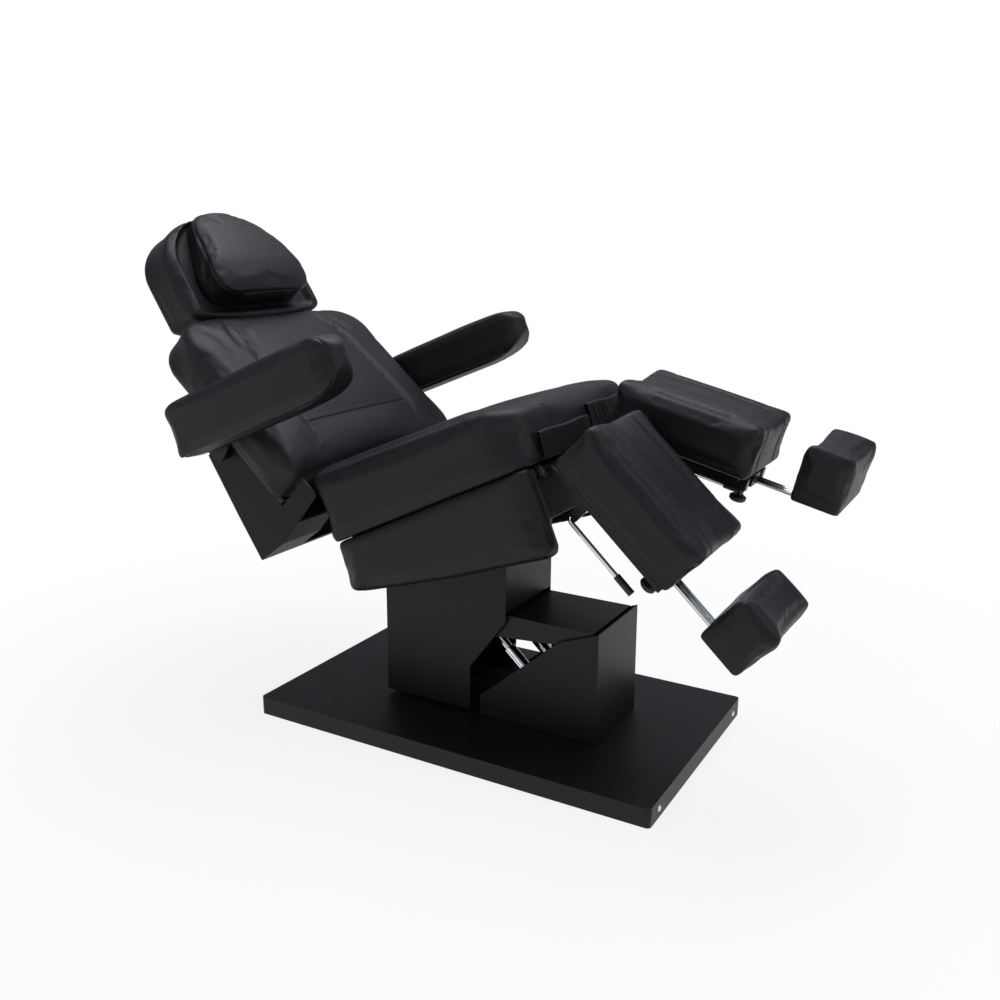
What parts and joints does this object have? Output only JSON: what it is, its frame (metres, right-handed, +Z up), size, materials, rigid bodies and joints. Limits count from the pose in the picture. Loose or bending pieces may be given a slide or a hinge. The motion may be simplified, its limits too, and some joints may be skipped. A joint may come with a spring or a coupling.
{
  "type": "podiatry chair",
  "caption": "Upholstered podiatry treatment chair on a parallelogram lifting column, with tilting seat, reclining back, flip-up arms, adjustable headrest and separate swinging leg rests.",
  "frame": {"origin": "middle of the floor plate's underside, on the floor", "axes": "+X towards the feet, +Y to the sitter's left, +Z up"},
  "size_m": [1.703, 0.846, 1.1757],
  "materials": {
    "upholstery": "satin black leatherette",
    "cover_paint": "satin black",
    "frame_paint": "semi-gloss black",
    "chrome": "polished",
    "black_plastic": "matte",
    "board": "dark stained plywood"
  },
  "bodies": {
    "base": {"floor_plate": "frame_paint", "base_frame": "frame_paint", "base_cover": "cover_paint", "base_cover_screws": "chrome", "control_box": "black_plastic", "mains_inlet": "black_plastic", "mains_inlet_pins": "chrome", "lift_bracket": "frame_paint", "lift_pivot_pins": "chrome", "front_housing": "cover_paint"},
    "lower_link": {"lower_link": "frame_paint"},
    "upper_link": {"upper_link": "frame_paint"},
    "lift_drive": {"lift_drive_tubes": "chrome"},
    "lift_rods": {"lift_drive_rods": "chrome"},
    "carriage": {"carriage_frame": "frame_paint", "carriage_pins": "chrome", "rear_cover": "cover_paint"},
    "tilt_drive": {"tilt_drive": "black_plastic"},
    "tilt_rod": {"tilt_drive_rod": "chrome"},
    "seat": {"seat_frame": "frame_paint", "seat_board": "board", "seat_cushion": "upholstery", "seat_side_right": "upholstery", "seat_side_left": "upholstery", "seat_apron": "upholstery", "seat_flap_right": "upholstery", "seat_flap_left": "upholstery", "leg_hinge_shaft": "chrome", "back_hinge_pins": "chrome"},
    "recline_drive": {"recline_drive": "black_plastic"},
    "recline_rod": {"recline_drive_rod": "chrome"},
    "back": {"back_frame": "frame_paint", "back_board": "board", "back_cushion": "upholstery", "back_box": "upholstery", "armrest_brackets": "frame_paint", "headrest_guide": "frame_paint"},
    "headrest_bars": {"headrest_bars": "chrome"},
    "headrest": {"headrest_plate": "frame_paint", "headrest_base": "upholstery", "headrest_pillow": "upholstery"},
    "armrest_right": {"armrest_plate_right": "frame_paint", "armrest_pad_right": "upholstery"},
    "leg_right": {"leg_frame_right": "frame_paint", "leg_cushion_right": "upholstery"},
    "lever_right": {"leg_lever_right": "chrome", "lever_grip_right": "black_plastic"},
    "knob_right": {"foot_knob_right": "black_plastic"},
    "foot_right": {"foot_bars_right": "chrome", "foot_pad_right": "upholstery"},
    "armrest_left": {"armrest_plate_left": "frame_paint", "armrest_pad_left": "upholstery"},
    "leg_left": {"leg_frame_left": "frame_paint", "leg_cushion_left": "upholstery"},
    "lever_left": {"leg_lever_left": "chrome", "lever_grip_left": "black_plastic"},
    "knob_left": {"foot_knob_left": "black_plastic"},
    "foot_left": {"foot_bars_left": "chrome", "foot_pad_left": "upholstery"}
  },
  "joints": [
    {"name": "lift", "type": "hinge", "parent": "base", "child": "lower_link", "pos_m": [0.24, 0, 0.11], "axis": [0, 1, 0], "range_deg": [0, 45]},
    {"name": "carriage_level", "type": "hinge", "parent": "lower_link", "child": "carriage", "pos_m": [-0.12, 0, 0.11], "axis": [0, 1, 0], "range_deg": [-45.5, 0.5]},
    {"name": "upper_link_swing", "type": "hinge", "parent": "base", "child": "upper_link", "pos_m": [0.265, 0, 0.28], "axis": [0, 1, 0], "range_deg": [-0.5, 45.5]},
    {"name": "lift_drive_swing", "type": "hinge", "parent": "base", "child": "lift_drive", "pos_m": [0.2, 0, 0.066], "axis": [0, 1, 0], "range_deg": [-0.5, 27.5]},
    {"name": "lift_rods_slide", "type": "slide", "parent": "lift_drive", "child": "lift_rods", "axis": [-0.7359, 0, 0.6771], "range_m": [-0.001, 0.14]},
    {"name": "seat_tilt", "type": "hinge", "parent": "carriage", "child": "seat", "pos_m": [-0.07, 0, 0.48], "axis": [0, -1, 0], "range_deg": [-21.5, 3.5]},
    {"name": "tilt_drive_swing", "type": "hinge", "parent": "carriage", "child": "tilt_drive", "pos_m": [-0.16, 0, 0.2], "axis": [0, -1, 0], "range_deg": [-1, 1]},
    {"name": "tilt_rod_slide", "type": "slide", "parent": "tilt_drive", "child": "tilt_rod", "axis": [-0.1464, 0, 0.9892], "range_m": [-0.009, 0.05]},
    {"name": "back_recline", "type": "hinge", "parent": "seat", "child": "back", "pos_m": [-0.32399, 0, 0.54225], "axis": [0, -1, 0], "range_deg": [-10, 46]},
    {"name": "recline_drive_swing", "type": "hinge", "parent": "seat", "child": "recline_drive", "pos_m": [-0.1075, 0, 0.41149], "axis": [0, -1, 0], "range_deg": [-2.5, 9.5]},
    {"name": "recline_rod_slide", "type": "slide", "parent": "recline_drive", "child": "recline_rod", "axis": [-0.9921, 0, 0.1257], "range_m": [-0.095, 0.0215]},
    {"name": "headrest_slide", "type": "slide", "parent": "back", "child": "headrest_bars", "axis": [-0.7547, 0, 0.6561], "range_m": [0, 0.08]},
    {"name": "headrest_tilt", "type": "hinge", "parent": "headrest_bars", "child": "headrest", "pos_m": [-0.84899, 0, 0.91382], "axis": [0, -1, 0], "range_deg": [0, 30]},
    {"name": "armrest_right_lift", "type": "hinge", "parent": "back", "child": "armrest_right", "pos_m": [-0.53258, -0.333, 0.69707], "axis": [0, -1, 0], "range_deg": [0, 85]},
    {"name": "armrest_left_lift", "type": "hinge", "parent": "back", "child": "armrest_left", "pos_m": [-0.53258, 0.333, 0.69707], "axis": [0, -1, 0], "range_deg": [0, 85]},
    {"name": "leg_right_swing", "type": "hinge", "parent": "seat", "child": "leg_right", "pos_m": [0.2131, -0.146, 0.67535], "axis": [0, -1, 0], "range_deg": [-10.5, 48.5]},
    {"name": "lever_right_pull", "type": "hinge", "parent": "leg_right", "child": "lever_right", "pos_m": [0.2709, -0.137, 0.58044], "axis": [0, 1, 0], "range_deg": [0, 20]},
    {"name": "knob_right_turn", "type": "hinge", "parent": "leg_right", "child": "knob_right", "pos_m": [0.41434, -0.148, 0.44394], "axis": [0.682, 0, 0.7314], "range_deg": [-120, 120]},
    {"name": "foot_right_slide", "type": "slide", "parent": "leg_right", "child": "foot_right", "axis": [0.7314, 0, -0.682], "range_m": [-0.06, 0.08]},
    {"name": "leg_left_swing", "type": "hinge", "parent": "seat", "child": "leg_left", "pos_m": [0.2131, 0.146, 0.67535], "axis": [0, -1, 0], "range_deg": [-39.5, 19.5]},
    {"name": "lever_left_pull", "type": "hinge", "parent": "leg_left", "child": "lever_left", "pos_m": [0.30967, 0.137, 0.62036], "axis": [0, 1, 0], "range_deg": [0, 20]},
    {"name": "knob_left_turn", "type": "hinge", "parent": "leg_left", "child": "knob_left", "pos_m": [0.5013, 0.148, 0.57051], "axis": [0.2419, 0, 0.9703], "range_deg": [-120, 120]},
    {"name": "foot_left_slide", "type": "slide", "parent": "leg_left", "child": "foot_left", "axis": [0.9703, 0, -0.2419], "range_m": [-0.06, 0.08]}
  ],
  "couplings": [
    {"joint": "carriage_level", "follows": "lift", "ratio": -1},
    {"joint": "upper_link_swing", "follows": "lift", "ratio": 1},
    {"joint": "lift_drive_swing", "follows": "lift", "ratio": 0.598},
    {"joint": "lift_rods_slide", "follows": "lift", "m_per_rad": 0.1771},
    {"joint": "tilt_drive_swing", "follows": "seat_tilt", "ratio": 0.0188},
    {"joint": "tilt_rod_slide", "follows": "seat_tilt", "m_per_rad": -0.13},
    {"joint": "recline_drive_swing", "follows": "back_recline", "ratio": 0.186},
    {"joint": "recline_rod_slide", "follows": "back_recline", "m_per_rad": -0.1173}
  ]
}
